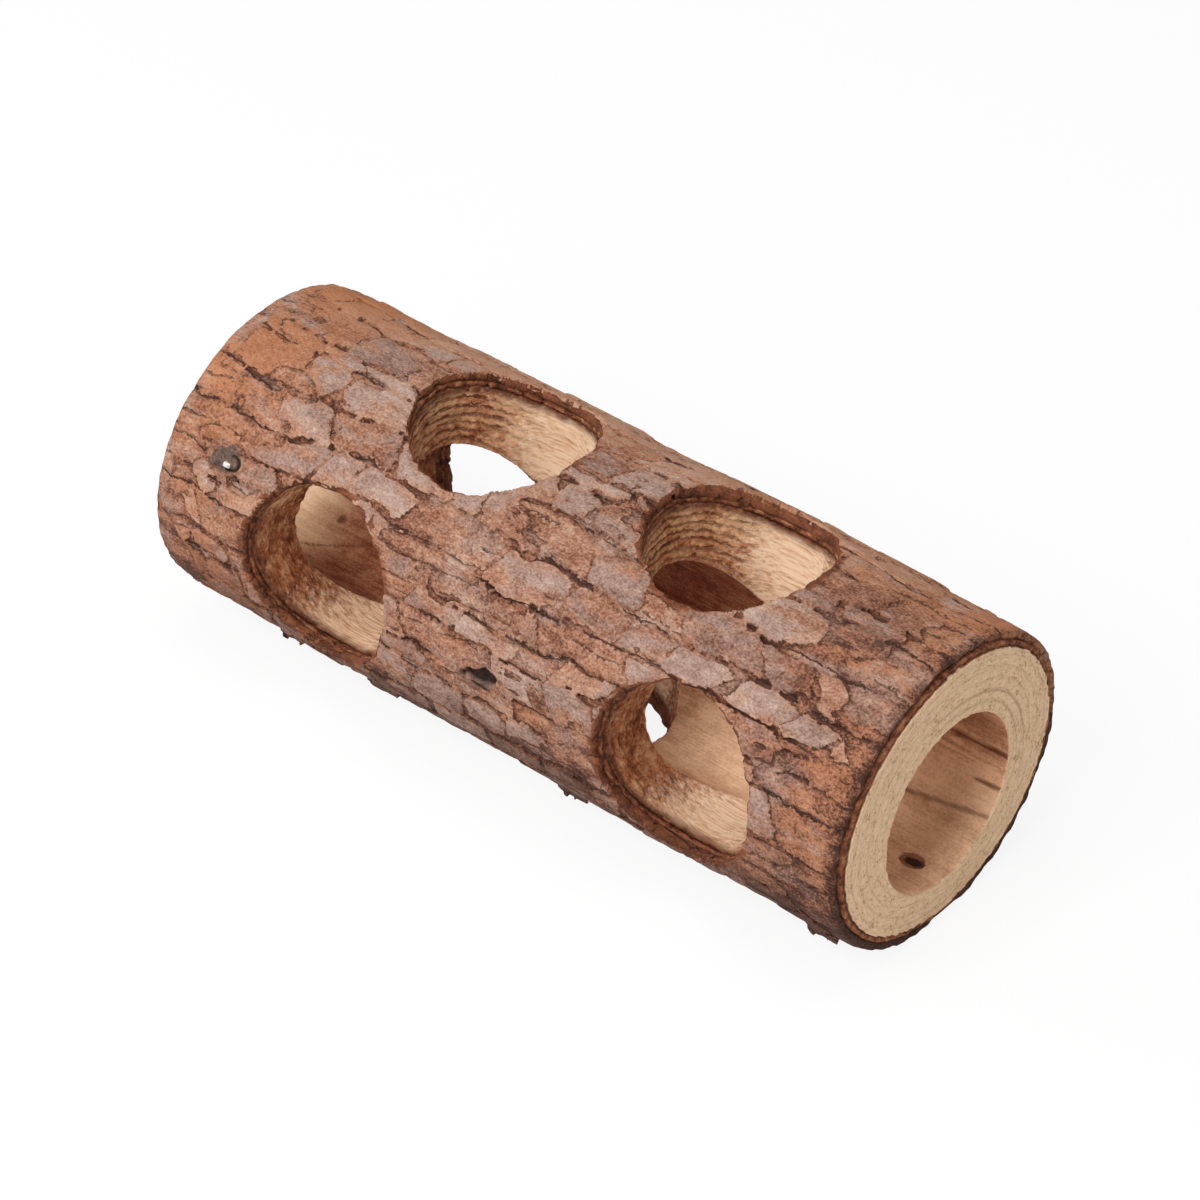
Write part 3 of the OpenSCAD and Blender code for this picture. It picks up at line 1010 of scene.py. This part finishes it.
# Bore, long grain and torn end grain
longLines = woodLook.level(longGrain, 0.36, 0.64)
broadLines = woodLook.level(broadGrain, 0.34, 0.66)
boreMix = woodLook.blend((longLines, 0.2), (broadLines, 0.22), (speckle, 0.26), (clumps, 0.24))
boreColour = woodLook.ramp(boreMix, wood, (0.22, "boreDark"), (0.62, "bore"))
# Painted light: a paler, lit copy of the bore colour, mixed in where light falls into the bore
paleColour = woodLook.ramp(boreMix, wood, (0.2, "boreTan"), (0.6, "borePale"))
boreColour = woodLook.mix("paleBore", boreColour, paleColour)
# Painted shade: a darker brown copy of the bore colour, mixed in where little light reaches
brownMix = woodLook.blend((boreMix, 0.6), (fuzz, 0.25), (broadClumps, 0.25))
brownColour = woodLook.ramp(brownMix, wood, (0.3, "boreDeep"), (0.75, "boreBrown"))
brownBore = woodLook.times("brownBore", woodLook.level(boreMix, 1.6, 0.3))
boreColour = woodLook.mix(brownBore, boreColour, brownColour)
boreColour = woodLook.mix("streak", boreColour, wood["streak"])
grainMix = woodLook.blend((longLines, 0.5), (flecks, 0.3), (broadLines, 0.2))
grainColour = woodLook.ramp(grainMix, wood, (0.06, "grainLine"), (0.32, "grainDark"), (0.62, "grain"))
# Painted light: torn end grain is paler higher up; higher up it also shows more dark rings
upper = woodLook.level(placeZ, 40 * mm, 62 * mm)
tornMix = woodLook.blend(
    (roundFlecks, 0.18),
    (fuzz, 0.3),
    (clumps, 0.25),
    (broadClumps, 0.2),
    (upper, 0.18),
)
tornColour = woodLook.ramp(tornMix, wood, (0.2, "tornDark"), (0.45, "tornMid"), (0.78, "tornPale"))
tornRing = woodLook.blend((ringPlace, 1.0), (clumps, 0.8), (roundFlecks, 0.5), (broadClumps, 1.2))
ringWave = woodLook.math("SINE", woodLook.times(tornRing, 2 * math.pi / wood["tornGap"]))
ringDark = woodLook.level(woodLook.blend((ringWave, 1.0), (fuzz, -0.7)), -0.45, 0.35)
ringShare = woodLook.blend((upper, 0.45), (woodLook.level(broadClumps, 0.9, 0.1), 0.5))
ringDark = woodLook.times(ringDark, ringShare)
tornColour = woodLook.mix(ringDark, tornColour, wood["tornDark"])
streaky = woodLook.speckles((90, 900, 900), 4, 0.65)
tornShare = woodLook.blend(("endGrain", 1.0), (streaky, 0.4), (fuzz, 0.2))
woodColour = woodLook.mix(woodLook.level(tornShare, 0.66, 1.02), grainColour, tornColour)
stainColour = woodLook.ramp(fuzz, wood, (0.1, "stainDark"), (0.8, "stainRed"))
woodColour = woodLook.mix("stain", woodColour, stainColour)
woodColour = woodLook.mix("bore", woodColour, boreColour)
woodColour = woodLook.mix("sawn", woodColour, sawnColour)
tornFuzz = woodLook.times(fuzz, "endGrain")
woodNormal = woodLook.bump(longGrain, 0.0003, 0.4)
woodNormal = woodLook.bump(tornFuzz, 0.0005, 0.9, woodNormal)
woodNormal = woodLook.bump(speckle, 0.0001, 0.4, woodNormal)
woodMaterial = woodLook.done(woodColour, woodNormal)

woodTube = makeWood()
finishPiece(woodTube, woodMaterial, ["wood_tube"], 40)


# Branch scars: an oval of dead wood with a sunken middle, on the bark
deadWood = {
    "step": 0.3,
    "margin": 2,
    "overlap": 0.4,
    "sink": 2.2,
    "grey": (134, 108, 97),
    "greyDark": (72, 53, 46),
    "black": (24, 13, 9),
    "brownBlack": (60, 35, 26),
}
scarLook = Look("deadBranch", 0.85)
scarCrumbs, scarGrains = barkSpeckles(scarLook, (300, 460, 460))
scarTone = scarLook.math("ADD", scarLook.blend((scarCrumbs, 0.34), (scarGrains, 0.4)), 0.1)
scarColour = barkRamp(scarLook, scarTone)
greyColour = scarLook.ramp(scarTone, deadWood, (0.25, "greyDark"), (0.75, "grey"))
greyMask = scarLook.blend(("grey", 1.0), (scarCrumbs, 0.4), (scarGrains, 0.3))
scarColour = scarLook.mix(scarLook.level(greyMask, 0.45, 0.95), scarColour, greyColour)
blackColour = scarLook.ramp(scarGrains, deadWood, (0.2, "black"), (0.9, "brownBlack"))
# Black in the scar's hollows and blots: dark dead wood, with painted shade in the hollows
blackMask = scarLook.blend(("pit", 1.0), (scarCrumbs, 0.35), (scarGrains, 0.2))
scarColour = scarLook.mix(scarLook.level(blackMask, 0.6, 0.95), scarColour, blackColour)
scarNormal = barkRelief(scarLook, scarCrumbs, scarGrains, 0.0005, 0.8)
scarMaterial = scarLook.done(scarColour, scarNormal)


def makeScar(name, scar, relief):
    step = deadWood["step"]
    reach = (scar[2] + deadWood["margin"], scar[3] + deadWood["margin"])
    piece, flat = makeGrid(name, int(2 * reach[0] / step), int(2 * reach[1] / step))
    x = scar[0] + flat[:, 0] * reach[0]
    turn = math.radians(scar[1]) - flat[:, 1] * reach[1] / barkRound

    def inwards(alongLog, turned):
        spots = wrapRound(alongLog, turned)
        return deadWood["overlap"] - scarGap(alongLog, turned, spots, scar)

    x, turn, gap = slideToEdge(x, turn, inwards, step)
    writeValues(piece, along=x, turn=turn)
    cutAway(piece, gap)
    x, turn = readValues(piece, "along", "turn")
    places = wrapRound(x, turn)
    around = (turn - math.radians(scar[1])) * barkRound / scar[3]
    height, grey, pit = relief((x - scar[0]) / scar[2], around, places)
    movePoints(piece, wrapRound(x, turn, height + lumpHeight(places)))
    writeValues(piece, grey=grey, pit=pit)
    thicken(piece, deadWood["sink"])
    return piece


# Relief in mm over the scar's own half sizes, how grey it is and how black. The black in the hollows is
# dark dead wood with the hollows' shade painted in
def frontRelief(along, around, places):
    wobble = 0.4 * softNoise(places, 2.2, 90) + 0.2 * softNoise(places, 1.1, 89)
    middle = around + 0.18 + 0.25 * np.sin(3 * along)
    hollow = smoothStep(-np.hypot((along - 0.05) / 1.0, middle / 0.6) + wobble, -1.0, -0.45)
    splitAway = np.hypot((along - 0.1) / 0.85, (around - 0.6 - 0.2 * along) / 0.2)
    split = smoothStep(-splitAway + wobble, -1.0, -0.4)
    grey = 0.85 * smoothStep(-np.hypot(along / 0.95, (around - 0.15) / 0.8) + wobble, -1.0, -0.4)
    height = 0.05 - 1.3 * hollow - 0.6 * split + 0.3 * roughNoise(places, 1.8, 92, 2)
    return height, grey, np.clip(hollow + 0.7 * split, 0, 1)


def resinRelief(along, around, places):
    away = np.hypot(along, around) + 0.5 * roughNoise(places, 2.6, 94, 2)
    grey = smoothStep(-away, -1.0, -0.4)
    ring = np.hypot((along - 0.42) / 0.34, (around - 0.1) / 0.42)
    crescent = np.exp(-(((ring - 1) / 0.28) ** 2)) * smoothStep(along, 0.1, 0.35)
    blots = smoothStep(softNoise(places, 1.5, 93), 0.25, 0.6) * grey
    height = 0.05 + 0.3 * roughNoise(places, 1.8, 96, 2) - 0.5 * crescent
    return height, grey, np.clip(0.45 * blots + 0.8 * crescent, 0, 1)


resinKnot = makeScar("resinKnot", scars[0], resinRelief)
finishPiece(resinKnot, scarMaterial, ["resin_knot"])
frontKnot = makeScar("frontKnot", scars[1], frontRelief)
finishPiece(frontKnot, scarMaterial, ["front_knot"])

# Resin: a hard drop that has run a little way down, near white: partly the dried resin's pale colour and
# partly a painted glint
resin = {
    "x": -82.8,
    "turn": 58.2,
    "long": 0.95,
    "wide": 0.65,
    "tall": 0.5,
    # near white: the dried resin's pale colour with a painted glint
    "clear": (236, 230, 222),
    "shade": (150, 140, 132),
}
bpy.ops.mesh.primitive_uv_sphere_add(segments=48, ring_count=24, radius=1, location=(0, 0, 0))
resinBead = bpy.context.object
resinBead.name = "resinBead"
ball = readPoints(resinBead) * mm
ballNoise = 1 + 0.35 * softNoise(ball * 10, 6, 95)
beadX = resin["x"] + resin["long"] * ball[:, 0] * ballNoise
beadTurn = math.radians(resin["turn"]) - resin["wide"] * ball[:, 1] * ballNoise / barkRound
beadLift = 0.2 + resin["tall"] * ball[:, 2] * ballNoise
spot = wrapRound(beadX, beadTurn)
movePoints(resinBead, wrapRound(beadX, beadTurn, beadLift + lumpHeight(spot)))
resinLook = Look("driedResin", 0.12, specular=0.6, coat=0.6)
resinCloud = resinLook.grain((900, 900, 900), 4, 0.6)
resinColour = resinLook.ramp(resinCloud, resin, (0.35, "shade"), (0.6, "clear"))
resinMaterial = resinLook.done(resinColour, resinLook.bump(resinCloud, 0.0002, 0.4))
finishPiece(resinBead, resinMaterial, ["resin_bead"])

# Bore knot: the dark root of a branch in the floor of the bore
knot = {
    "halfLong": 2.3,
    "halfWide": 1.3,
    "sunk": 0.12,
    "rough": 0.25,
    "root": (182, 126, 90),
    "rootDark": (58, 30, 18),
}
boreKnot = copyNode("boreKnot", "bore_knot")
editMesh(
    boreKnot,
    lambda: bpy.ops.mesh.select_all(action="SELECT"),
    lambda: bpy.ops.mesh.subdivide(number_cuts=3),
)
knotPlaces = readPoints(boreKnot)
knotTop = np.abs(np.hypot(knotPlaces[:, 1], knotPlaces[:, 2] - boreHeight) - boreRadius) < 0.15
knotDrop = knot["sunk"] + knot["rough"] * roughNoise(knotPlaces, 1.4, 97, 2)
knotPlaces[:, 2] -= np.where(knotTop, knotDrop, 0)
movePoints(boreKnot, knotPlaces)
knotMiddle = knotPlaces[knotTop].mean(axis=0)
knotAlong, knotAcross, _ = (knotPlaces - knotMiddle).T
knotAway = np.hypot(knotAlong / knot["halfLong"], knotAcross / knot["halfWide"])
knotPit = smoothStep(-knotAway + 0.35 * softNoise(knotPlaces, 1.6, 98), -1.35, -0.6)
writeValues(boreKnot, pit=knotPit)
knotLook = Look("branchRoot", 0.8)
knotGrain = knotLook.speckles((500, 900, 900), 5, 0.7)
knotMix = knotLook.blend(("pit", 1.0), (knotGrain, 0.3))
knotColour = knotLook.ramp(knotMix, knot, (0.2, "root"), (0.9, "rootDark"))
knotMaterial = knotLook.done(knotColour, knotLook.bump(knotGrain, 0.0003, 0.8))
finishPiece(boreKnot, knotMaterial, ["bore_knot"], 35)

# Loose flakes: place along the log, turn in degrees, length, width and lift of the free edge
flakes = {
    "places": [
        (89, 133, 10, 6, 1.6),
        (17, 134, 8, 5, 1.4),
        (-40, 132, 8, 5, 1.4),
        (-69, 133, 7, 5, 1.2),
        (94, -107, 8, 5, 1.0),
    ],
    "grid": (22, 14),
    "thick": 0.6,
    "dark": (48, 32, 26),
    "brown": (112, 76, 60),
}
flakeLook = Look("looseFlake", 0.9)
flakeGrain = flakeLook.grain((300, 800, 800), 6, 0.7)
flakeColour = flakeLook.ramp(flakeGrain, flakes, (0.35, "dark"), (0.65, "brown"))
flakeMaterial = flakeLook.done(flakeColour, flakeLook.bump(flakeGrain, 0.0006, 0.8))
flakeParts = []
for index, (flakeX, flakeTurn, flakeLong, flakeWide, flakeLift) in enumerate(flakes["places"]):
    part, flat = makeGrid("looseFlake", *flakes["grid"])
    reach = 1 + 0.25 * roughNoise(flat * 10 + 40 * index, 5, 99, 2)
    side = math.copysign(1, flakeTurn)
    x = flakeX - side * flakeLong / 2 * flat[:, 0] * np.sqrt(1 - flat[:, 1] ** 2 / 2.2) * reach
    around = flakeWide / 2 * flat[:, 1] * np.sqrt(1 - flat[:, 0] ** 2 / 2.4) * reach
    turn = math.radians(flakeTurn) + side * around / barkRound
    lift = flakeLift * smoothStep(flat[:, 1], -0.6, 1.0) ** 1.5
    lift = lift + 0.2 * softNoise(flat * 10 + 70 * index, 6, 100)
    spot = wrapRound(x, turn)
    movePoints(part, wrapRound(x, turn, 0.1 + lift + lumpHeight(spot)))
    thicken(part, flakes["thick"])
    flakeParts.append(part)
selectOnly(flakeParts[0])
for part in flakeParts:
    part.select_set(True)
bpy.ops.object.join()
looseFlakes = bpy.context.object
looseFlakes.name = "looseFlakes"
finishPiece(looseFlakes, flakeMaterial, ["loose_flakes"], 40)
print("pieces ready")


# Camera at the photograph's viewing angle
view = {
    "around": 39.86,
    "up": 39.68,
    "distance": 1250,
    "focal": 5462,
    "sideways": 0.08,
    "raised": 3.94,
    "frame": 1200,
    "sensor": 36,
}
around, raised = math.radians(view["around"]), math.radians(view["up"])
back = Vector((math.sin(around) * math.cos(raised), -math.cos(around) * math.cos(raised), math.sin(raised)))
right = Vector((math.cos(around), math.sin(around), 0))
upward = back.cross(right)
stand = back * view["distance"] + right * view["sideways"] + upward * view["raised"]
stand = stand + Vector((0, 0, boreHeight))
bpy.ops.object.camera_add(location=(0, 0, 0))
camera = bpy.context.object
camera.name = "photoCamera"
turned = Matrix((right, upward, back)).transposed().to_4x4()
camera.matrix_world = Matrix.Translation(stand * mm) @ turned
camera.data.sensor_width = view["sensor"]
camera.data.lens = view["focal"] / view["frame"] * view["sensor"]
camera.data.clip_start = 0.05
bpy.context.scene.camera = camera

# Light: a dim white room and four large soft lamps, with their names, places in m and powers in W
light = {
    "room": 0.2,
    "floorShade": 0.12,
    "size": 0.7,
    "white": (255, 255, 255),
    "floor": (0.9, 0.9, 0.9, 1),
    "lamps": [
        ("leftLamp", (-1.03, -0.48, 0.53), 6.0),
        ("frontLamp", (0, -0.88, 0.88), 10.0),
        ("topLamp", (0, -0.04, 1.25), 5.8),
        ("rightLamp", (1.08, 0, 0.62), 2.2),
    ],
}
world = bpy.data.worlds.new("whiteRoom")
bpy.context.scene.world = world
world.use_nodes = True
tree = world.node_tree
tree.nodes.clear()


# 1 for what the camera sees itself or in a reflection
def seenDirectly(tree):
    path = addNode(tree, "LightPath", {})
    seen = path.outputs["Is Camera Ray"]
    for name in ("Is Glossy Ray", "Is Transmission Ray"):
        rays = {0: seen, 1: path.outputs[name]}
        seen = addNode(tree, "Math", rays, operation="MAXIMUM").outputs[0]
    return seen


roomGlow = addNode(tree, "Background", {"Color": light["white"], "Strength": light["room"]})
whiteGlow = addNode(tree, "Background", {"Color": light["white"]})
glows = {0: seenDirectly(tree), 1: roomGlow.outputs[0], 2: whiteGlow.outputs[0]}
choose = addNode(tree, "MixShader", glows)
addNode(tree, "OutputWorld", {"Surface": choose.outputs[0]})

for lampName, lampPlace, lampPower in light["lamps"]:
    bpy.ops.object.light_add(type="AREA", location=lampPlace)
    lamp = bpy.context.object
    lamp.name = lampName
    lamp.data.size = light["size"]
    lamp.data.energy = lampPower
    lamp.rotation_euler = Vector(lampPlace).to_track_quat("Z", "Y").to_euler()

bpy.ops.mesh.primitive_plane_add(size=8, location=(0, 0, 0))
floor = bpy.context.object
floor.name = "paleFloor"
floorLook = Look("paleFloor", 0.9)
floorLook.shader.inputs["Base Color"].default_value = light["floor"]
glow = floorLook.node("Emission", {"Color": light["white"], "Strength": 1.0})
share = floorLook.times(seenDirectly(floorLook.tree), 1 - light["floorShade"])
shaders = {0: share, 1: floorLook.shader.outputs[0], 2: glow.outputs[0]}
blend = floorLook.node("MixShader", shaders)
floorLook.tree.links.new(blend.outputs[0], floorLook.output.inputs["Surface"])
floor.data.materials.append(floorLook.material)

bpy.context.scene.view_settings.view_transform = "Standard"
